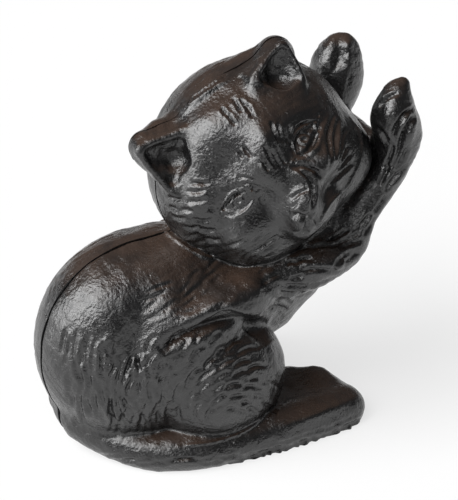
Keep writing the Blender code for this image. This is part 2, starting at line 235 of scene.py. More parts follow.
# Ears: the two lower corners of the opening, its peak, then the tip of the round back with its
# radius. Behind each ear its back runs down onto the crown.
LEFT_EAR = ((-12.2, -9.5, 143), (-19.4, -15, 122.8), (-29.8, -8, 139.3), (-26.5, -2, 138), 6.4)
RIGHT_EAR = ((19.7, -14.8, 162.1), (37.8, -17, 160.3), (34.1, -9, 171.9), (35.3, -1, 165.6), 7.6)
RIGHT_EAR_SIDE = (17.3, -5.6, 161.5)
RIGHT_EAR_SIDE_HALF_THICKNESS = 2.4
EAR_BACKS = [
    [(37, 2, 163.1, 7.8), (27.7, 4, 157.9, 7.5)],
    [(-23.2, 1, 134.9, 7.2), (-16.7, 2, 138.5, 7.2)],
]

# Balls along an ear's back and along the dish in its front, from the root up: how far out of the
# front they lie, how far up, and their radius
EAR_BACK_ROOT = (-7, -4, 12.5)
EAR_BACK_MIDDLE = (-3.5, 0, 9.5)
EAR_DISH_ROOT = (4, 3, 6.6)
EAR_DISH_MIDDLE = (3.2, 0, 5.2)
EAR_DISH_TOP = (3, -6, 3.0)
EAR_FRONT = 1.6
EAR_RIM = 3.0
EAR_DISH_FRONT = 2.6
EAR_DISH_INSET = 0.3

# Fillet where each mass runs into the rest
FILLET = {
    "seat": 4,
    "back": 4,
    "torso": 16,
    "flank": 7,
    "chest": 10,
    "throat": 8,
    "breast": 8,
    "web": 6,
    "foreleg": 5,
    "far hind foot": 4,
    "tail": 3,
    "haunch": 2.2,
    "muzzle": 9,
    "cheek": 8,
    "back of ear": 6,
    "front of ear": 4,
    "edge of ear": 1.5,
    "ear": 3,
    "side of ear": 1.2,
    "floor of dish": 2,
    "edge of dish": 1,
    "head": 1.6,
    "core": 3,
    "boss": 2.5,
}


def ear(p, corner_a, corner_b, peak, tip, tip_radius):
    """Distances to an ear, with a round back and a flat front, and to the dish in that front."""
    a, b, peak, tip = (np.asarray(v, float) for v in (corner_a, corner_b, peak, tip))
    root = (a + b) / 2
    up = unit(tip - root)
    out = unit(np.cross(b - a, peak - a))
    out = out if out[1] < 0 else -out

    def ball_at(point, outward, upward, radius):
        return (*(point + out * outward + up * upward), radius)

    back = [
        ball_at(root, *EAR_BACK_ROOT),
        ball_at((root + tip) / 2, *EAR_BACK_MIDDLE),
        (*tip, tip_radius),
    ]
    solid = join(limb(p, back), plate(p, (a, b, peak), EAR_RIM), FILLET["front of ear"])
    front = (p - a.astype(np.float32)) @ out.astype(np.float32) - EAR_FRONT
    solid = trim(solid, front, FILLET["edge of ear"])
    middle = (a + b + peak) / 3
    inner = []
    for corner in (a, b, peak):
        inner.append(corner + EAR_DISH_INSET * (middle - corner) + out * EAR_DISH_FRONT)
    deep = [
        ball_at(root, *EAR_DISH_ROOT),
        ball_at((root + peak) / 2, *EAR_DISH_MIDDLE),
        ball_at(peak, *EAR_DISH_TOP),
    ]
    return solid, join(plate(p, inner, EAR_RIM), limb(p, deep), FILLET["floor of dish"])


def kitten(p):
    """Distance from points to the kitten's skin, before the fur and the face are cut into it."""
    p = p.astype(np.float32)
    body = join(ball(p, *RUMP), ball(p, *SEAT), FILLET["seat"])
    body = join(body, ball(p, *BACK), FILLET["back"])
    body = join(body, limb(p, TORSO, steps=3), FILLET["torso"])
    for side in (1, -1):
        flank = [(x, side * y, z, radius) for x, y, z, radius in FLANK]
        body = join(body, limb(p, flank, steps=3), FILLET["flank"])
    body = join(body, ball(p, *CHEST), FILLET["chest"])
    body = join(body, ball(p, *THROAT), FILLET["throat"])
    body = join(body, limb(p, BREAST), FILLET["breast"])
    aside = np.maximum(np.abs(p[:, 1]) - WEB_REACH, 0)
    body = join(body, limb(np.stack([p[:, 0], aside, p[:, 2]], 1), WEB), FILLET["web"])
    body = join(body, limb(p, NEAR_FORELEG), FILLET["foreleg"])
    body = join(body, limb(p, FAR_FORELEG), FILLET["foreleg"])
    body = join(body, limb(p, FAR_HIND_FOOT), FILLET["far hind foot"])
    hind_foot = plate(p, HIND_FOOT, HIND_FOOT_HALF_THICKNESS)
    body = join(body, join(hind_foot, limb(p, TAIL), FILLET["tail"]), FILLET["tail"])
    (x, y, z), half_sizes = HAUNCH
    for side in (1, -1):
        body = join(body, ball(p, (x, side * y, z), half_sizes), FILLET["haunch"])
    head = join(head_ball(p, (0, 0, 0), SKULL), head_ball(p, *MUZZLE), FILLET["muzzle"])
    for cheek in CHEEKS:
        head = join(head, head_ball(p, *cheek), FILLET["cheek"])
    for back in EAR_BACKS:
        head = join(head, limb(p, back, steps=1), FILLET["back of ear"])
    dishes = []
    for corners in (LEFT_EAR, RIGHT_EAR):
        solid, dish = ear(p, *corners)
        head = join(head, solid, FILLET["ear"])
        dishes.append(dish)
    corner, _, peak = RIGHT_EAR[:3]
    ear_side = plate(p, (corner, peak, RIGHT_EAR_SIDE), RIGHT_EAR_SIDE_HALF_THICKNESS)
    head = join(head, ear_side, FILLET["side of ear"])
    for dish in dishes:
        head = trim(head, -dish, FILLET["edge of dish"])
    return join(body, head, FILLET["head"])


# A grid is filled by the block first, then cell by cell within a band of cells along the skin
GRID_BLOCK = 4
GRID_BAND = 6
GRID_OUTSIDE = 5.0
DRAWN_ONTO_SKIN = 1.5


def skin_mesh(shape, low, high, cell, finer):
    """Mesh of a distance's zero surface: laid out on a grid, divided, then drawn onto the formula."""
    low = np.array(low, float)
    count = np.ceil((np.array(high) - low) / cell).astype(int) + 1
    count += -count % GRID_BLOCK
    axes = [low[i] + cell * np.arange(count[i]) for i in range(3)]
    corners = np.stack(np.meshgrid(*axes, indexing="ij"), -1).astype(np.float32)
    middles = slice(GRID_BLOCK // 2, None, GRID_BLOCK)
    coarse = corners[middles, middles, middles]
    values = shape(coarse.reshape(-1, 3)).reshape(coarse.shape[:3])
    for axis in range(3):
        values = values.repeat(GRID_BLOCK, axis)
    values = values.astype(np.float32)
    close = np.abs(values) < GRID_BAND * cell
    values[close] = shape(corners[close])
    grid = openvdb.FloatGrid(background=GRID_OUTSIDE)
    grid.copyFromArray(values)
    points, _, quads = grid.convertToPolygons(isovalue=0.0)
    mesh = bpy.data.meshes.new("skin")
    mesh.from_pydata((points * cell + low).tolist(), [], quads[:, ::-1].tolist())
    thing = add_object("skin", mesh)
    if finer:
        divide = thing.modifiers.new("divide", "SUBSURF")
        divide.levels = divide.render_levels = finer
        bake(thing)
    p = of_vertices(thing, "co")
    for _ in range(2):
        gap, normal = slope(shape, p)
        near = np.abs(gap) < DRAWN_ONTO_SKIN * cell
        p[near] -= (normal * gap[:, None])[near]
        p[near] -= (normal * shape(p)[:, None])[near]
    set_points(thing, p)
    if (of_vertices(thing, "normal") * normal).sum() < 0:
        thing.data.flip_normals()
    return thing


def add_object(name, data):
    thing = bpy.data.objects.new(name, data)
    bpy.context.scene.collection.objects.link(thing)
    return thing


SLOPE_STEP = 0.12


def slope(shape, p):
    """Distance and outward direction at points."""
    gap = shape(p)
    steps = [shape(p + SLOPE_STEP * axis) - gap for axis in np.eye(3, dtype=np.float32)]
    direction = np.stack(steps, 1)
    return gap, direction / np.maximum(np.linalg.norm(direction, axis=1), 1e-6)[:, None]


def bake(thing):
    """Turn an object's modifiers into plain mesh."""
    graph = bpy.context.evaluated_depsgraph_get()
    mesh = bpy.data.meshes.new_from_object(thing.evaluated_get(graph))
    thing.modifiers.clear()
    thing.data = mesh


def of_vertices(thing, what):
    """What each vertex of a mesh has: its place, as co, or its normal."""
    values = np.empty(len(thing.data.vertices) * 3, np.float32)
    thing.data.vertices.foreach_get(what, values)
    return values.reshape(-1, 3)


def set_points(thing, p):
    thing.data.vertices.foreach_set("co", p.ravel())
    thing.data.update()


# The modeller's sheet: the figure drawn as it is seen from the front left and above, with
# 0.43 mm to the step. The fur and the face are drawn on it and cut straight through to the skin.
SHEET_AIM = np.array([11.5, -5.0, 79.9])
SHEET_ROUND = math.radians(-28)
SHEET_DOWN = math.radians(30)
SHEET_DISTANCE = 950.0
SHEET_STEP = 0.43
SHEET_MIDDLE = np.array([229.0, 250.0])
SHEET_OUT = np.array(
    [
        math.sin(SHEET_ROUND) * math.cos(SHEET_DOWN),
        -math.cos(SHEET_ROUND) * math.cos(SHEET_DOWN),
        math.sin(SHEET_DOWN),
    ]
)
SHEET_RIGHT = np.array([math.cos(SHEET_ROUND), math.sin(SHEET_ROUND), 0])
SHEET_UP = np.cross(SHEET_OUT, SHEET_RIGHT)

# Strokes and mounds fade out where the skin turns away from the sheet, and strokes at their ends
SHEET_FADE = 2.5
STROKE_FADE = 0.6


def facing_sheet(normals):
    """How far the skin faces the sheet: 0 where it faces away, 1 where it faces well towards it."""
    return np.clip(normals @ SHEET_OUT * SHEET_FADE, 0, 1)


def bell(x, middle, width):
    """Bell curve, 1 at its middle."""
    return np.exp(-(((x - middle) / width) ** 2))


def groove(off, width, lip):
    """Section of a tool stroke: 1 along its middle, with the lip that the tool raises beside it."""
    return bell(off, 0, width) - lip * bell(off, 2 * width, width)


def thin_ends(along, steep):
    """Fade of a stroke from 0 at both ends to 1 between them."""
    return np.clip(steep * np.minimum(along, 1 - along), 0, 1) ** STROKE_FADE


class Carving:
    """The points of one skin with their places on the sheet, and how far each is lifted or cut."""

    def __init__(self, thing):
        self.thing = thing
        self.p = of_vertices(thing, "co")
        self.n = of_vertices(thing, "normal")
        q = self.p - (SHEET_AIM + SHEET_OUT * SHEET_DISTANCE)
        scale = SHEET_DISTANCE / SHEET_STEP / -(q @ SHEET_OUT)
        self.sheet = SHEET_MIDDLE + np.stack([q @ SHEET_RIGHT * scale, -(q @ SHEET_UP) * scale], 1)
        self.facing = facing_sheet(self.n)
        self.lift = np.zeros(len(self.p))

    def around(self, low, high):
        """Points inside a rectangle of the sheet that face it."""
        within = (self.sheet > low).all(1) & (self.sheet < high).all(1)
        return np.nonzero(within & (self.facing > 0))[0]

    def track(self, numbers, reach):
        """Points near a drawn line: which, how far off, how far along (0 to 1), and on which side."""
        path = np.asarray(numbers, float).reshape(-1, 2)
        if len(path) > 2:
            path = smooth_path(path, 4)
        hit = self.around(path.min(0) - reach, path.max(0) + reach)
        q = self.sheet[hit]
        off = np.full(len(hit), np.inf)
        along = np.zeros(len(hit))
        side = np.zeros(len(hit))
        lengths = np.linalg.norm(np.diff(path, axis=0), axis=1)
        done = 0.0
        for start, run, length in zip(path, np.diff(path, axis=0), lengths):
            t = np.clip((q - start) @ run / (length * length), 0, 1)
            away = q - start - t[:, None] * run
            d = np.linalg.norm(away, axis=1)
            closer = d < off
            off[closer] = d[closer]
            along[closer] = (done + t[closer] * length) / lengths.sum()
            side[closer] = np.sign(run[0] * away[closer, 1] - run[1] * away[closer, 0])
            done += length
        return hit, off, along, side

    def cut(self, numbers, width, depth, lip=0.3, ends=4.0):
        """A tool stroke along a drawn line. A negative depth raises the skin."""
        hit, off, along, _ = self.track(numbers, 4 * width)
        fade = thin_ends(along, ends)
        self.lift[hit] -= depth * groove(off, width, lip) * fade * self.facing[hit]

    def ledge(self, numbers, height, reach, sharp):
        """Raise the skin on the right of a drawn line, as seen along it, falling away from it."""
        hit, off, along, side = self.track(numbers, 3 * reach)
        fade = np.clip(3 * np.minimum(along, 1 - along), 0, 1)
        edge = 0.5 + 0.5 * np.tanh(side * off / sharp)
        self.lift[hit] += height * edge * bell(off, 0, reach) * fade * self.facing[hit]

    def dab(self, x, y, wide, tall, turn, height):
        """A soft mound or dent, turned by degrees on the sheet."""
        reach = 2.2 * max(wide, tall)
        hit = self.around((x - reach, y - reach), (x + reach, y + reach))
        q = self.sheet[hit] - (x, y)
        c, s = math.cos(math.radians(turn)), math.sin(math.radians(turn))
        a = (q[:, 0] * c + q[:, 1] * s) / wide
        b = (-q[:, 0] * s + q[:, 1] * c) / tall
        self.lift[hit] += height * np.exp(-(a * a + b * b)) * self.facing[hit]

    def settle(self):
        """Move the skin by what has been cut so far, and look at it afresh."""
        self.p = (self.p + self.n * self.lift[:, None]).astype(np.float32)
        set_points(self.thing, self.p)
        self.n = of_vertices(self.thing, "normal")
        self.facing = facing_sheet(self.n)
        self.lift[:] = 0

    def combed(self, rng, where, flow, count, length, width, depth):
        """Short strokes over part of the skin, each laid along the way that the fur lies there."""
        for i in rng.choice(np.nonzero(where)[0], count):
            start, normal = self.p[i], self.n[i]
            way = flow(start) + rng.normal(0, 0.16, 3)
            way = unit(way - normal * (way @ normal)) * length * rng.uniform(0.6, 1.3)
            close = (np.abs(self.p - start - way / 2) < length).all(1)
            near = np.nonzero(close & (self.n @ normal > 0.4))[0]
            q = self.p[near] - start
            t = np.clip(q @ way / (way @ way), 0, 1)
            off = np.linalg.norm(q - t[:, None] * way, axis=1)
            depth_here = depth * rng.uniform(0.5, 1.2)
            self.lift[near] -= depth_here * groove(off, width, 0.3) * thin_ends(t, 5)


RIPPLE_WAVES = 9


def ripple(p, size, seed):
    """Uneven swell of a hand-worked surface, about -1 to 1, with waves of about the given size."""
    rng = np.random.default_rng(seed)
    total = np.zeros(len(p))
    for _ in range(RIPPLE_WAVES):
        way = unit(rng.normal(0, 1, 3)) * 2 * math.pi / (size * rng.uniform(0.7, 1.5))
        total += np.sin(p @ way + rng.uniform(0, 2 * math.pi))
    return total / 4


# Mounds and dents on the sheet: middle, half sizes, turn in degrees, and height in millimetres
MOUNDS = [
    # Head: forehead, temple, cheeks, brows, muzzle and the hollows between them
    (208, 124, 30, 26, -20, 1.6),
    (224, 170, 20, 30, 18, -3.4),
    (192, 214, 18, 28, 10, 3.4),
    (242, 234, 26, 13, -24, 4.8),
    (268, 207, 13, 19, 30, -4.6),
    (264, 141, 13, 24, -10, 3.2),
    (268, 178, 11, 24, -42, 2.2),
    (304, 205, 19, 24, 18, 6.8),
    (298, 176, 9, 13, -30, 2.4),
    (328, 190, 9, 20, 24, -4.2),
    (302, 138, 14, 22, 28, -2.6),
    (238, 200, 24, 11, -26, -2.0),
    (322, 162, 17, 20, 20, 5.6),
    (334, 138, 9, 20, 15, 1.6),
    (300, 228, 14, 7, -15, 1.6),
    (214, 100, 26, 10, -35, -0.8),
    # Body: the hollow behind the haunch, the flank's swell, the neck, the haunch
    (134, 346, 17, 38, 12, -4.2),
    (98, 300, 24, 34, 25, 1.2),
    (216, 306, 44, 15, -28, 2.8),
    (152, 300, 20, 12, -40, -0.8),
    (252, 298, 30, 17, -20, 2.0),
    (266, 286, 6, 15, -20, -1.6),
    (214, 366, 30, 24, -25, 1.6),
    # Foreleg and hind foot
    (330, 262, 32, 13, -24, 4.0),
    (316, 374, 18, 9, 18, 3.0),
    (290, 388, 14, 12, -8, -1.6),
    (318, 414, 30, 6, -22, 1.4),
]

# Lines on the sheet, each as the x and y of one point after another
HAUNCH_VALLEY = [160, 352, 172, 341, 190, 331, 212, 323, 236, 321, 256, 328, 268, 344]
HAUNCH_LEDGE = [272, 330, 262, 318, 244, 312, 224, 309, 208, 316, 190, 326, 172, 339, 156, 354]
RUMP_LEDGE = [98, 388, 95, 372, 95, 356, 98, 344, 106, 335, 116, 326]
CROWN_LEDGE = [240, 76, 226, 83, 212, 92, 196, 106, 180, 121]
SEAMS = [
    [349, 116, 357, 128, 362, 142, 361, 156, 355, 172, 344, 190, 330, 204, 316, 218, 304, 230, 293, 235],
    [278, 238, 266, 246, 252, 256],
    [157, 224, 168, 235, 182, 246, 198, 255, 214, 260],
    [184, 446, 210, 443, 232, 437, 250, 428, 262, 418],
]
FILE_MARKS = 14
FIRST_FILE_MARK = (178, 112)

# How far the edges along the joint are rounded back: on the body, and on the head above it
JOINT_ROUNDED = 0.85
HEAD_JOINT_ROUNDED = 0.3
HEAD_JOINT_FROM = 110
JOINT_EDGE = 1.0


def drawn_form(c):
    """The larger modelling that the masses don't give: sockets, brows, cheeks, muzzle, flank."""
    for mound in MOUNDS:
        c.dab(*mound)
    c.cut(HAUNCH_VALLEY, 7, 4.4, lip=0, ends=6)
    c.settle()
    c.ledge(HAUNCH_LEDGE, 1.9, 10, 0.9)
    c.ledge(RUMP_LEDGE, 1.0, 11, 1.6)
    c.settle()
    # The edges along the joint are rounded back, so that it shows as a dark line
    rounded = np.where(c.p[:, 2] < HEAD_JOINT_FROM, JOINT_ROUNDED, HEAD_JOINT_ROUNDED)
    c.lift -= rounded * bell(c.p[:, 1], 0, JOINT_EDGE)
    # Raised seams that the pattern maker left: round the head's edge, along the neck and the tail
    for seam in SEAMS:
        c.cut(seam, 1.4, -0.8, lip=0, ends=8)
    # Crown: the ground step beside the joint, with file marks across it
    c.ledge(CROWN_LEDGE, 1.3, 9, 0.8)
    for k in range(FILE_MARKS):
        x = FIRST_FILE_MARK[0] + 3.4 * k
        y = FIRST_FILE_MARK[1] - 2.3 * k
        c.cut([x, y, x + 5, y - 8], 1.6, 0.6)
    c.settle()


# Eyes on the sheet: middle, half length, half width, and turn in degrees. Then how deep or high
# their pieces stand, in millimetres.
EYES = [(238.5, 203, 20, 7.5, -26), (306.5, 139, 19, 8.0, 118)]
EYE_REACH = 30
EYE_SUNK = 1.1
EYEBALL = 1.0
LID = 0.75
LOWER_LID_SHARE = 0.55
IRIS_EDGE = 0.5
IRIS_RING = 0.25
PUPIL = 0.45


def eye(c, x, y, half_length, half_width, turn):
    """Almond eye: lids round a sunk eyeball, with the rings of iris and pupil cut in it."""
    hit = c.around((x - EYE_REACH, y - EYE_REACH), (x + EYE_REACH, y + EYE_REACH))
    q = c.sheet[hit] - (x, y)
    cos, sin = math.cos(math.radians(turn)), math.sin(math.radians(turn))
    a = (q[:, 0] * cos + q[:, 1] * sin) / half_length
    b = (-q[:, 0] * sin + q[:, 1] * cos) / half_width
    # 1 along the almond's edge, less inside it and more outside
    rim = np.abs(b) / np.maximum(1 - a * a, 0.02)
    inside = 1 / (1 + np.exp(np.minimum((rim - 1) * 9, 90)))
    lift = -EYE_SUNK * inside + EYEBALL * inside * np.clip(1 - a * a - b * b, 0, 1)
    share = np.where(b < 0, 1.0, LOWER_LID_SHARE)
    lift += LID * share * bell(rim, 1.42, 0.3) * (np.abs(a) < 1.25)
    ring = np.linalg.norm(q, axis=1)
    lift -= IRIS_EDGE * bell(ring, 0.82 * half_width, 0.9) * inside
    lift -= PUPIL * bell(ring, 0, 1.7) * inside
    lift += IRIS_RING * bell(ring, 0.45 * half_width, 1.0) * inside
    c.lift[hit] += lift * c.facing[hit]


# Strokes on the sheet, each as its line, width and depth
LIDS = [
    ([219, 215, 228, 203, 240, 195, 252, 191, 261, 193], 1.6, 0.8),
    ([219, 215, 232, 215, 245, 209, 254, 201, 261, 193], 1.5, 0.6),
    ([297, 157, 293, 145, 296, 131, 305, 123, 321, 120], 1.6, 0.8),
    ([297, 157, 306, 152, 313, 142, 318, 131, 321, 120], 1.7, 1.2),
]
NOSE_AND_MOUTH = [
    ([294, 167, 303, 174, 308, 183, 310, 194, 308, 206], 2.0, 1.7),
    ([308, 208, 302, 211, 296, 209, 291, 212], 1.8, 1.5),
    ([303, 211, 305, 217, 302, 223, 294, 227], 1.8, 1.5),
    ([308, 213, 313, 216, 313, 222], 1.6, 1.0),
    ([290, 196, 296, 191, 303, 188], 1.6, 0.9),
    ([291, 203, 296, 199], 1.5, 0.7),
    ([290, 167, 300, 165, 310, 170, 317, 180], 2.2, 1.2),
]
NOSE_AND_LIP_MOUNDS = [
    (299, 197, 8, 10, 20, 1.2),
    (297, 217, 7, 5, -10, 1.2),
    (308, 219, 4, 5, 20, 1.4),
]

# Lines on the sheet: tufts on the forehead and between the brows, the grooves of the whiskers,
# and the fur at the left of the head
TUFTS = [
    [228, 114, 232, 121, 236, 126],
    [233, 98, 238, 106, 241, 113],
    [240, 99, 246, 107, 249, 114],
    [247, 103, 251, 112, 252, 119],
    [222, 108, 227, 117],
    [243, 146, 248, 153, 252, 158],
    [238, 150, 243, 158],
    [270, 122, 274, 132, 279, 143],
    [277, 124, 280, 133, 283, 143],
    [284, 127, 286, 136, 289, 143],
    [291, 124, 291, 132, 290, 139],
    [264, 146, 269, 157, 276, 168],
    [270, 149, 275, 158, 281, 168],
    [277, 148, 281, 157, 285, 164],
    [262, 160, 268, 170],
]
WHISKERS = [
    [321, 170, 323, 152, 328, 130, 334, 114],
    [325, 170, 327, 154, 332, 134, 338, 118],
    [327, 172, 333, 154, 340, 138, 347, 128],
    [330, 174, 338, 158, 347, 145],
    [331, 178, 341, 164, 351, 153],
    [333, 182, 344, 170, 352, 163],
    [231, 249, 243, 241, 254, 236, 266, 230],
    [237, 253, 250, 245, 262, 238, 272, 232],
    [243, 257, 256, 248, 268, 241, 279, 234],
    [251, 259, 263, 251, 275, 243, 283, 236],
    [225, 243, 237, 236, 248, 231],
]
SIDE_OF_HEAD = [
    [190, 199, 199, 200, 208, 199],
    [183, 208, 190, 207, 197, 209],
    [196, 215, 205, 219, 214, 219],
    [186, 221, 194, 224, 203, 223],
    [200, 226, 209, 229, 216, 228],
    [180, 232, 190, 233, 200, 231],
    [186, 239, 196, 241, 206, 238],
    [196, 247, 206, 247, 215, 244],
    [172, 222, 180, 226],
    [168, 196, 176, 198, 184, 197],
    [170, 206, 177, 207, 183, 210],
    [174, 214, 182, 215, 190, 214],
    [188, 190, 197, 191, 206, 190],
    [191, 182, 200, 184, 209, 184],
    [208, 208, 215, 210],
    [205, 236, 214, 238, 222, 236],
    [208, 254, 217, 253, 226, 249],
    [242, 183, 251, 185, 260, 189],
    [238, 178, 248, 179, 256, 182],
]


def drawn_face(c):
    """Eyes and lids, nose and mouth, whisker grooves, and the fur of the forehead and cheek."""
    for place in EYES:
        eye(c, *place)
    c.settle()
    for mound in NOSE_AND_LIP_MOUNDS:
        c.dab(*mound)
    for stroke in LIDS + NOSE_AND_MOUTH:
        c.cut(*stroke)
    for line in TUFTS:
        c.cut(line, 1.8, 1.1)
    for line in WHISKERS:
        c.cut(line, 1.9, 1.3, ends=3.2)
    for line in SIDE_OF_HEAD:
        c.cut(line, 1.7, 0.8)


# Fur of the haunch: short bowed strokes in rings round the knee, each ring as its radius and the
# angles where it starts and ends
KNEE = (230, 430)
KNEE_RINGS = [(22, 200, 300), (34, 196, 312), (46, 190, 318), (58, 186, 306)]
KNEE_RINGS += [(70, 184, 296), (82, 182, 280), (95, 182, 262), (108, 182, 246)]

# Fur of the rump: rows of long upright strokes that bend under towards the tail, and a few
# deeper ones
RUMP_LEFT = 66
RUMP_ROWS = (340, 386)
RUMP_IN_ROW = 30
RUMP_MIDDLE = 372
RUMP_LINES = [
    [82, 352, 80, 364, 81, 376, 84, 390],
    [89, 346, 86, 360, 87, 374, 90, 388],
    [76, 356, 76, 368, 79, 380],
    [104, 340, 101, 350, 101, 364, 104, 380],
]

# Fur of the flank behind the haunch, in rows, and of the saddle between it and the neck
FLANK_LEFT = 108
FLANK_ROWS = (364, 386, 408)
FLANK_IN_ROW = 17
SADDLE_FUR = 60
SADDLE_FROM = (140, 322)

# Foreleg and paw: lines of fur, then the pads' mounds and the clefts between the toes
FORELEG_LINES = [
    [290, 255, 301, 249, 311, 247],
    [309, 249, 322, 246, 336, 245, 349, 237],
    [300, 271, 312, 268, 326, 268, 339, 269],
    [289, 278, 296, 277, 303, 274],
    [278, 284, 294, 285, 310, 285, 328, 278],
    [276, 291, 288, 293, 299, 293, 311, 290],
    [327, 268, 334, 260, 342, 254, 355, 248],
    [338, 261, 347, 256, 357, 250],
    [336, 250, 348, 244, 361, 239],
    [344, 242, 354, 236, 364, 226],
    [325, 242, 337, 237, 349, 229],
    [352, 232, 362, 224, 371, 213],
    [362, 236, 370, 226, 377, 214],
    [372, 216, 380, 205, 387, 195],
    [379, 186, 384, 176, 390, 164],
    [385, 192, 392, 180, 400, 170],
    [384, 168, 390, 158, 394, 146],
    [391, 184, 400, 173, 406, 163],
    [392, 168, 397, 156, 401, 144],
    [268, 300, 280, 298, 292, 303],
    [266, 310, 276, 306, 288, 309],
    [296, 262, 304, 259, 311, 260],
    [286, 264, 292, 262, 298, 264],
]
PAW_MOUNDS = [
    (392, 113, 10, 19, 22, 3.2),
    (403, 118, 4, 12, 28, 1.6),
    (411, 134, 4, 14, 15, 1.4),
]
PAW_STROKES = [
    ([380, 108, 386, 100, 398, 93], 1.8, 1.4),
    ([392, 136, 397, 124, 404, 113, 413, 108], 2.0, 1.8),
    ([399, 148, 403, 135, 408, 123, 415, 117], 2.0, 1.8),
    ([394, 174, 401, 160, 408, 146], 2.0, 1.2),
    ([376, 126, 383, 132, 388, 142], 2.2, 1.0),
]

# Crease between haunch and hind foot, and the strokes along the tail
FOOT_CREASE = [262, 416, 280, 404, 288, 390]
TAIL_FUR = 20
TAIL_FROM = (96, 452)


def drawn_fur(c, rng):
    """Fur of haunch, rump, flank, saddle, foreleg, paw and tail, stroke by stroke."""
    for ring, first, last in KNEE_RINGS:
        angle = first
        while angle < last:
            span = rng.uniform(1100, 1800) / (ring + 22)
            radius = (ring + rng.uniform(-5, 5)) * np.array([0.92, 1.02, 1.06])
            turn = np.radians([angle, angle + span / 2, angle + span])
            x = KNEE[0] + radius * np.cos(turn) * 1.08
            y = KNEE[1] + radius * np.sin(turn)
            c.cut(np.stack([x, y], 1), 2.0, rng.uniform(0.45, 1.0))
            angle += span * rng.uniform(0.7, 1.05)
    for k in range(len(RUMP_ROWS) * RUMP_IN_ROW):
        x = RUMP_LEFT + 1.8 * (k % RUMP_IN_ROW) + rng.uniform(-2, 2)
        y = RUMP_ROWS[k // RUMP_IN_ROW] + rng.uniform(-16, 16) + (x - RUMP_LEFT) * 0.2
        tall = rng.uniform(14, 36)
        lean = (y - RUMP_MIDDLE) / 7
        half_way = (x - 1.5 + lean * 0.3 + rng.uniform(-1, 1), y + tall / 2)
        c.cut([x, y, *half_way, x + 1 + lean, y + tall], 2.0, rng.uniform(0.2, 0.55))
    for line in RUMP_LINES:
        c.cut(line, 2.2, 0.8)
    for k in range(len(FLANK_ROWS) * FLANK_IN_ROW):
        x = FLANK_LEFT + 3.2 * (k % FLANK_IN_ROW) + rng.uniform(-2, 2)
        y = FLANK_ROWS[k // FLANK_IN_ROW] + rng.uniform(-8, 8) - (x - FLANK_LEFT) * 0.2
        tall = rng.uniform(16, 34)
        c.cut([x, y + tall, x + 2, y + tall / 2, x + 8, y], 1.9, rng.uniform(0.3, 0.65))
    for _ in range(SADDLE_FUR):
        along, across = rng.uniform(0, 1), rng.uniform(-1, 1)
        x = SADDLE_FROM[0] + 116 * along + 16 * across
        y = SADDLE_FROM[1] - 52 * along + 22 * across
        long = rng.uniform(14, 34)
        turn = math.radians(rng.uniform(-48, -18))
        bow = rng.uniform(-1.5, 1.5)
        run, rise = long * math.cos(turn), long * math.sin(turn)
        half_way = (x + run / 2 + bow, y + rise / 2 + bow)
        c.cut([x, y, *half_way, x + run, y + rise], 2.0, rng.uniform(0.12, 0.32))
    for line in FORELEG_LINES:
        c.cut(line, 1.9, 1.1)
    for mound in PAW_MOUNDS:
        c.dab(*mound)
    for stroke in PAW_STROKES:
        c.cut(*stroke)
    c.cut(FOOT_CREASE, 2.4, 0.8)
    for k in range(TAIL_FUR):
        x = TAIL_FROM[0] + 13 * k + rng.uniform(-4, 4)
        hang = 10 * math.sin((x - 60) / 90) - max(0, x - 210) * 0.22
        y = TAIL_FROM[1] + hang + rng.uniform(-4, 4)
        half_way = (x + 12, y + 1 - max(0, x - 190) * 0.03)
        end = (x + 26, y - max(0, x - 170) * 0.07)
        c.cut([x, y, *half_way, *end], 1.5, rng.uniform(0.3, 0.7))


# Teeth of the torn flash along the lower edge: where they stand, and how far they hang out
FLASH_TEETH = np.arange(-12, 58, 1.5)
FLASH_LEAST = 0.5
FLASH_DEPTH = 2.6


def ragged_edge(c, rng):
    """Torn casting flash that was left along the lower edge of the tail and hind foot."""
    x, y, z = c.p.T
    torn = np.interp(x, FLASH_TEETH, rng.uniform(0, 1, len(FLASH_TEETH)) ** 2.2)
    torn *= np.clip((x + 10) / 12, 0, 1) * np.clip((56 - x) / 10, 0, 1) * (y < -12)
    c.lift += (FLASH_LEAST + FLASH_DEPTH * torn) * (torn > 0) * bell(z, 0.2, 0.9)
    c.settle()


ROD_SEGMENTS = 40


def rod(radius, start, end):
    """Round rod between two points on a line along Y."""
    bm = bmesh.new()
    middle = (Vector(start) + Vector(end)) / 2
    bmesh.ops.create_cone(
        bm,
        cap_ends=True,
        segments=ROD_SEGMENTS,
        radius1=radius,
        radius2=radius,
        depth=end[1] - start[1],
        matrix=Matrix.Translation(middle) @ Matrix.Rotation(-math.pi / 2, 4, "X"),
    )
    return new_object("rod", bm)


def box(low, high):
    bm = bmesh.new()
    size = Vector(high) - Vector(low)
    middle = (Vector(high) + Vector(low)) / 2
    bmesh.ops.create_cube(bm, size=1.0, matrix=Matrix.Translation(middle) @ Matrix.Diagonal((*size, 1)))
    return new_object("box", bm)


def new_object(name, bm):
    mesh = bpy.data.meshes.new(name)
    bm.to_mesh(mesh)
    bm.free()
    return add_object(name, mesh)


def carve_out(thing, cutter, operation="DIFFERENCE"):
    """Boolean with another object, which is used up."""
    modifier = thing.modifiers.new("cut", "BOOLEAN")
    modifier.operation = operation
    modifier.solver = "MANIFOLD"
    modifier.object = cutter
    bake(thing)
    bpy.data.objects.remove(cutter)


SCREW_HEAD_HEIGHT = 3.6
SCREW_HEAD_RADIUS = 4.5
SCREW_RADIUS = 2.5
HOLE_CLEARANCE = 0.3
BLIND_HOLE_DEPTH = 14.5
BOSS_RADIUS = 6.8
BOSS_DRAFT = 0.026


def screw_place(node):
    """A screw's axis and the height under its head, in the figure's frame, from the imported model."""
    low, high = (np.array(corner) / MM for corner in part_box(node))
    x, z = (low[0] + high[0]) / 2 - FIGURE_X, (low[2] + high[2]) / 2
    return x, z, high[1] - SCREW_HEAD_HEIGHT


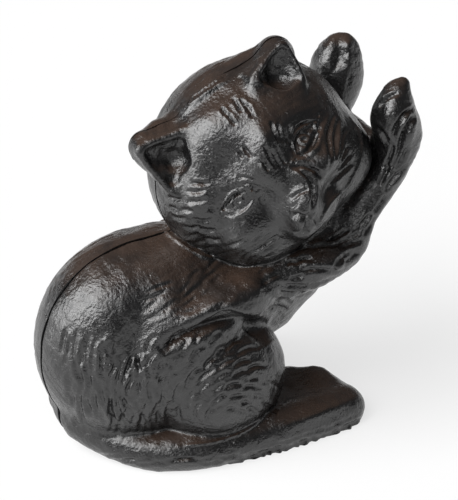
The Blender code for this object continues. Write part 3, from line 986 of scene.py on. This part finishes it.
screw_places = [screw_place(node) for node in ("body_screw", "head_screw")]


def core(p):
    """Distance to the hollow inside: the large masses less the wall, with the bosses left standing."""
    p = p.astype(np.float32)

    def less_wall(sizes):
        return [size - WALL for size in sizes]

    torso = [(x, y, z, radius - WALL) for x, y, z, radius in TORSO]
    hollow = ball(p, RUMP[0], less_wall(RUMP[1]))
    hollow = join(hollow, limb(p, torso, steps=3), FILLET["core"])
    (x, y, z), half_sizes = HAUNCH
    for side in (1, -1):
        haunch = ball(p, (x, side * y, z), less_wall(half_sizes))
        hollow = join(hollow, haunch, FILLET["core"])
    hollow = join(hollow, head_ball(p, (0, 0, 0), less_wall(SKULL)), FILLET["core"])
    (x, y, _), (half_x, half_y, _) = SEAT
    half_x, half_y = half_x - BASE_RIM, half_y - BASE_RIM
    opening = np.hypot((p[:, 0] - x) / half_x, (p[:, 1] - y) / half_y) - 1
    opening = np.maximum(opening * half_y, p[:, 2] - BASE_OPENING_HEIGHT)
    hollow = join(hollow, opening, FILLET["core"])
    for x, z, _ in screw_places:
        taper = BOSS_RADIUS + BOSS_DRAFT * np.abs(p[:, 1])
        hollow = trim(hollow, taper - np.hypot(p[:, 0] - x, p[:, 2] - z), FILLET["boss"])
    deep_in = hollow < 0
    hollow[deep_in] = np.maximum(hollow[deep_in], kitten(p[deep_in]) + LEAST_WALL)
    return hollow


CORE_CELL = 2.6
BEYOND = 300
DRILLED_FROM = 90


def half_of(skin, side):
    """One half casting: the skin cut at the joint and the floor, hollowed and drilled."""
    core_from, core_to = (-45, 4) if side < 0 else (-4, 45)
    inside = skin_mesh(core, (-85, core_from, -10), (80, core_to, 172), CORE_CELL, 0)
    low, high = sorted((side * JOINT_GAP / 2, side * BEYOND))
    carve_out(skin, box((-BEYOND, low, 0), (BEYOND, high, BEYOND)), "INTERSECT")
    carve_out(skin, inside)
    hole = SCREW_RADIUS + HOLE_CLEARANCE
    recess = SCREW_HEAD_RADIUS + HOLE_CLEARANCE
    for x, z, seat in screw_places:
        if side > 0:
            carve_out(skin, rod(hole, (x, -1, z), (x, DRILLED_FROM, z)))
            carve_out(skin, rod(recess, (x, seat - HOLE_CLEARANCE, z), (x, DRILLED_FROM, z)))
        else:
            carve_out(skin, rod(hole, (x, -BLIND_HOLE_DEPTH, z), (x, 1, z)))
    return skin


SHARP_FROM = math.radians(60)


def finish_casting(skin, name, node, material):
    """Lacquer a casting, bring it to metres in the part's frame and hand it to the model."""
    skin.data.materials.clear()
    skin.data.materials.append(material)
    p = of_vertices(skin, "co")
    p[:, 0] += FIGURE_X
    set_points(skin, p * MM)
    skin.data.shade_smooth()
    skin.data.set_sharp_from_angle(angle=SHARP_FROM)
    skin.name = skin.data.name = name
    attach(skin, "root")
    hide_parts(node)


def lacquered_skin():
    """Shared effect: the fine orange peel and casting grain that show through a coat of lacquer, and
    brown in patches on upward faces, which is dust and a painted warm reflection.
    """
    group = bpy.data.node_groups.new("lacquered_skin", "ShaderNodeTree")
    for name, direction, kind in (
        ("Iron", "INPUT", "NodeSocketColor"),
        ("Brown", "INPUT", "NodeSocketColor"),
        ("Roughness", "INPUT", "NodeSocketFloat"),
        ("Color", "OUTPUT", "NodeSocketColor"),
        ("Roughness", "OUTPUT", "NodeSocketFloat"),
        ("Height", "OUTPUT", "NodeSocketFloat"),
    ):
        group.interface.new_socket(name=name, in_out=direction, socket_type=kind)
    nodes, links = group.nodes, group.links
    enter = nodes.new("NodeGroupInput")
    leave = nodes.new("NodeGroupOutput")
    place = nodes.new("ShaderNodeTexCoord")

    def noise(scale, detail, roughness):
        node = nodes.new("ShaderNodeTexNoise")
        node.inputs["Scale"].default_value = scale
        node.inputs["Detail"].default_value = detail
        node.inputs["Roughness"].default_value = roughness
        links.new(place.outputs["Object"], node.inputs["Vector"])
        return node.outputs["Fac"]

    def math_node(operation, a, b):
        node = nodes.new("ShaderNodeMath")
        node.operation = operation
        for slot_in, value in zip(node.inputs, (a, b)):
            if isinstance(value, (int, float)):
                slot_in.default_value = value
            else:
                links.new(value, slot_in)
        return node.outputs[0]

    def remap(value, given, wanted):
        node = nodes.new("ShaderNodeMapRange")
        node.interpolation_type = "SMOOTHSTEP"
        links.new(value, node.inputs[0])
        for k, number in enumerate((*given, *wanted)):
            node.inputs[1 + k].default_value = number
        return node.outputs[0]

    peel = noise(scale=800, detail=2, roughness=0.5)
    grain = noise(scale=2100, detail=3, roughness=0.6)
    worked = noise(scale=260, detail=2, roughness=0.5)
    cells = nodes.new("ShaderNodeTexVoronoi")
    cells.inputs["Scale"].default_value = 420
    links.new(place.outputs["Object"], cells.inputs["Vector"])
    pit = remap(cells.outputs["Distance"], (0.05, 0.3), (1, 0))
    sparse = remap(noise(scale=160, detail=2, roughness=0.5), (0.56, 0.66), (0, 1))
    pits = math_node("MULTIPLY", pit, sparse)
    height = math_node("ADD", math_node("MULTIPLY", peel, 0.6), math_node("MULTIPLY", grain, 0.15))
    height = math_node("ADD", height, math_node("MULTIPLY", worked, 0.5))
    height = math_node("SUBTRACT", height, math_node("MULTIPLY", pits, 0.35))
    links.new(height, leave.inputs["Height"])

    # Brown dust and painted warm reflection: brown shows in patches on surfaces that look up
    facts = nodes.new("ShaderNodeNewGeometry")
    parts = nodes.new("ShaderNodeSeparateXYZ")
    links.new(facts.outputs["Normal"], parts.inputs[0])
    upward = remap(parts.outputs["Z"], (0.55, 0.98), (0, 1))
    patches = remap(noise(scale=45, detail=3, roughness=0.6), (0.3, 0.6), (0.35, 1))
    mix = nodes.new("ShaderNodeMix")
    mix.data_type = "RGBA"
    links.new(math_node("MULTIPLY", upward, patches), mix.inputs["Factor"])
    links.new(enter.outputs["Iron"], mix.inputs["A"])
    links.new(enter.outputs["Brown"], mix.inputs["B"])
    links.new(mix.outputs["Result"], leave.inputs["Color"])
    uneven = math_node("SUBTRACT", noise(scale=130, detail=3, roughness=0.6), 0.5)
    uneven = math_node("MULTIPLY", uneven, 0.3)
    roughness = math_node("ADD", enter.outputs["Roughness"], uneven)
    links.new(roughness, leave.inputs["Roughness"])
    return group


skin_group = lacquered_skin()
IRON_BLACK = (0.006, 0.0058, 0.006)
# Brown of dust on upward faces, which also stands in for a warm reflection from above (painted
# reflection)
BROWN_DUST_AND_SHEEN = (0.040, 0.025, 0.018)
LACQUER_IOR = 1.68
LACQUER_RELIEF = 0.00056


def new_material(name):
    """New material with its nodes, links and shader."""
    material = bpy.data.materials.new(name)
    material.use_nodes = True
    nodes = material.node_tree.nodes
    return material, nodes, material.node_tree.links, nodes["Principled BSDF"]


def lacquered_iron(name, roughness):
    """Black-brown lacquer over cast iron."""
    material, nodes, links, shader = new_material(name)
    shader.inputs["Metallic"].default_value = 0.0
    shader.inputs["IOR"].default_value = LACQUER_IOR
    skin = nodes.new("ShaderNodeGroup")
    skin.node_tree = skin_group
    skin.inputs["Iron"].default_value = (*IRON_BLACK, 1)
    # Brown on upward faces: dust and a painted warm reflection
    skin.inputs["Brown"].default_value = (*BROWN_DUST_AND_SHEEN, 1)
    skin.inputs["Roughness"].default_value = roughness
    bump = nodes.new("ShaderNodeBump")
    bump.inputs["Strength"].default_value = 1.0
    bump.inputs["Distance"].default_value = LACQUER_RELIEF
    links.new(skin.outputs["Color"], shader.inputs["Base Color"])
    links.new(skin.outputs["Roughness"], shader.inputs["Roughness"])
    links.new(skin.outputs["Height"], bump.inputs["Height"])
    links.new(bump.outputs["Normal"], shader.inputs["Normal"])
    return material


near_skin = skin_mesh(kitten, (-85, -52, -4), (100, 3, 182), cell=1.25, finer=1)
near_carving = Carving(near_skin)
near_rng = np.random.default_rng(7)
near_broad = ripple(near_carving.p, size=9, seed=1)
near_small = ripple(near_carving.p, size=4, seed=2)
near_carving.lift += 0.15 * near_broad + 0.08 * near_small
drawn_form(near_carving)
drawn_fur(near_carving, near_rng)
drawn_face(near_carving)
near_carving.settle()
ragged_edge(near_carving, near_rng)
near_casting = half_of(near_skin, -1)
near_lacquer = lacquered_iron("near_lacquer", roughness=0.27)
finish_casting(near_casting, "near_casting", "near_half_casting", near_lacquer)

# Far half casting
# The other half, poured from its own pattern: far foreleg and hind foot, the back of the head
# and ears. It is drilled through and recessed for the screws, and has the same lacquer.

NECK_HEIGHT = 78
HEAD_UP_TO = 66
BREAST_FROM = 30
HEAD_FUR = np.array([-0.7, 0, -0.5])
FORELEG_FUR = np.array([-0.55, 0, -0.85])


def fur_flow(p):
    """The way the fur lies: back over the head, down the forelegs and breast, down the rump."""
    x, _, z = p
    if z > NECK_HEIGHT and x < HEAD_UP_TO:
        return HEAD_FUR
    if x > BREAST_FROM:
        return FORELEG_FUR
    return np.array([-0.55 - x / 90, 0, -0.6 - (60 - z) / 60])


# Pads of the far paw, as mounds and dents on the sheet
FAR_PAW_MOUNDS = [
    (330, 50, 6, 16, 20, 1.4),
    (339, 58, 6, 12, 10, -2.4),
    (347, 46, 5, 7, 0, 1.8),
    (349, 60, 4, 8, -20, 1.0),
]
UNCOMBED_AT_JOINT = 3

far_skin = skin_mesh(kitten, (-85, -3, -4), (100, 54, 182), cell=2.0, finer=1)
far_carving = Carving(far_skin)
far_rng = np.random.default_rng(11)
far_broad = ripple(far_carving.p, size=9, seed=3)
far_small = ripple(far_carving.p, size=4, seed=4)
far_carving.lift += 0.12 * far_broad + 0.05 * far_small
combed_part = far_carving.p[:, 1] > UNCOMBED_AT_JOINT
far_carving.combed(far_rng, combed_part, fur_flow, count=500, length=9.0, width=0.9, depth=0.4)
for mound in FAR_PAW_MOUNDS:
    far_carving.dab(*mound)
far_carving.settle()
far_casting = half_of(far_skin, 1)
far_lacquer = lacquered_iron("far_lacquer", roughness=0.29)
finish_casting(far_casting, "far_casting", "far_half_casting", far_lacquer)

# Screws
# Two slotted cheese head machine screws of darkened steel, turned on a lathe. They enter the
# far half's recesses, pass its bosses and bite in the near half, and show only from behind.

DARK_STEEL = (0.05, 0.045, 0.04, 1)
BARE_STEEL = (0.16, 0.145, 0.13, 1)


def darkened_steel():
    """Turned steel, darkened unevenly."""
    material, nodes, links, shader = new_material("screw_steel")
    shader.inputs["Metallic"].default_value = 0.9
    place = nodes.new("ShaderNodeTexCoord")
    uneven = nodes.new("ShaderNodeTexNoise")
    uneven.inputs["Scale"].default_value = 900
    uneven.inputs["Detail"].default_value = 4
    colour = nodes.new("ShaderNodeValToRGB")
    colour.color_ramp.elements[0].color = DARK_STEEL
    colour.color_ramp.elements[1].color = BARE_STEEL
    roughness = nodes.new("ShaderNodeMapRange")
    roughness.inputs["To Min"].default_value = 0.28
    roughness.inputs["To Max"].default_value = 0.5
    bump = nodes.new("ShaderNodeBump")
    bump.inputs["Strength"].default_value = 0.4
    bump.inputs["Distance"].default_value = 0.0001
    links.new(place.outputs["Object"], uneven.inputs["Vector"])
    links.new(uneven.outputs["Fac"], colour.inputs["Fac"])
    links.new(colour.outputs["Color"], shader.inputs["Base Color"])
    links.new(uneven.outputs["Fac"], roughness.inputs["Value"])
    links.new(roughness.outputs["Result"], shader.inputs["Roughness"])
    links.new(uneven.outputs["Fac"], bump.inputs["Height"])
    links.new(bump.outputs["Normal"], shader.inputs["Normal"])
    return material


screw_steel = darkened_steel()
for node in ("body_screw", "head_screw"):
    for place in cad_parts[node].material_slots:
        place.material = screw_steel

# Floor, light and camera
# A pale matt floor that the camera and reflections see as nearly white, with a soft shadow on
# it, three large soft lamps at the left, dim surroundings, and a camera at the photograph's angle.

FLOOR_HALF_SIZE = 3.0
FLOOR_GREY = (0.82, 0.82, 0.82, 1)
FLOOR_WHITENED = 0.7
floor_bm = bmesh.new()
bmesh.ops.create_grid(floor_bm, x_segments=8, y_segments=8, size=FLOOR_HALF_SIZE)
floor = new_object("floor", floor_bm)
floor_paint, floor_nodes, floor_links, floor_shader = new_material("floor_paint")
floor_shader.inputs["Base Color"].default_value = FLOOR_GREY
floor_shader.inputs["Roughness"].default_value = 0.9
ray = floor_nodes.new("ShaderNodeLightPath")
seen = ray.outputs["Is Camera Ray"]
for kind in ("Is Glossy Ray", "Is Transmission Ray"):
    either = floor_nodes.new("ShaderNodeMath")
    either.operation = "MAXIMUM"
    floor_links.new(seen, either.inputs[0])
    floor_links.new(ray.outputs[kind], either.inputs[1])
    seen = either.outputs[0]
whitened = floor_nodes.new("ShaderNodeMath")
whitened.operation = "MULTIPLY"
whitened.inputs[1].default_value = FLOOR_WHITENED
white = floor_nodes.new("ShaderNodeEmission")
white.inputs["Color"].default_value = (1, 1, 1, 1)
white.inputs["Strength"].default_value = 1.0
blend = floor_nodes.new("ShaderNodeMixShader")
floor_links.new(seen, whitened.inputs[0])
floor_links.new(whitened.outputs[0], blend.inputs["Fac"])
floor_links.new(floor_shader.outputs["BSDF"], blend.inputs[1])
floor_links.new(white.outputs["Emission"], blend.inputs[2])
floor_links.new(blend.outputs["Shader"], floor_nodes["Material Output"].inputs["Surface"])
floor.data.materials.append(floor_paint)

DIM_SURROUNDINGS = (0.1, 0.1, 0.102, 1)
world = bpy.data.worlds.new("studio")
bpy.context.scene.world = world
world.use_nodes = True
world.node_tree.nodes["Background"].inputs["Color"].default_value = DIM_SURROUNDINGS


def lamp(name, direction, degrees_wide, level):
    """Round soft lamp far off, which alone lights a surface that faces it to the level."""
    light = bpy.data.lights.new(name, "SUN")
    light.angle = math.radians(degrees_wide)
    light.energy = level * math.pi
    turn = Vector(direction).to_track_quat("Z", "Y")
    add_object(name, light).rotation_euler = turn.to_euler()


lamp("key_lamp", (-0.7, 0.02, 0.71), 48, 1.05)
lamp("side_lamp", (-0.94, 0.26, 0.2), 46, 0.78)
lamp("front_lamp", (-0.52, -0.5, 0.69), 42, 0.32)

PHOTO_HEIGHT = 500
SENSOR_WIDTH = 36
camera = add_object("camera", bpy.data.cameras.new("camera"))
aim = Vector(SHEET_AIM + (FIGURE_X, 0, 0)) * MM
camera.location = aim + Vector(SHEET_OUT) * SHEET_DISTANCE * MM
camera.rotation_euler = (-Vector(SHEET_OUT)).to_track_quat("-Z", "Y").to_euler()
camera.data.sensor_width = SENSOR_WIDTH
camera.data.lens = SENSOR_WIDTH * SHEET_DISTANCE / (PHOTO_HEIGHT * SHEET_STEP)
camera.data.clip_start = 0.05
camera.data.clip_end = 20
bpy.context.scene.camera = camera
bpy.context.scene.view_settings.view_transform = "Standard"
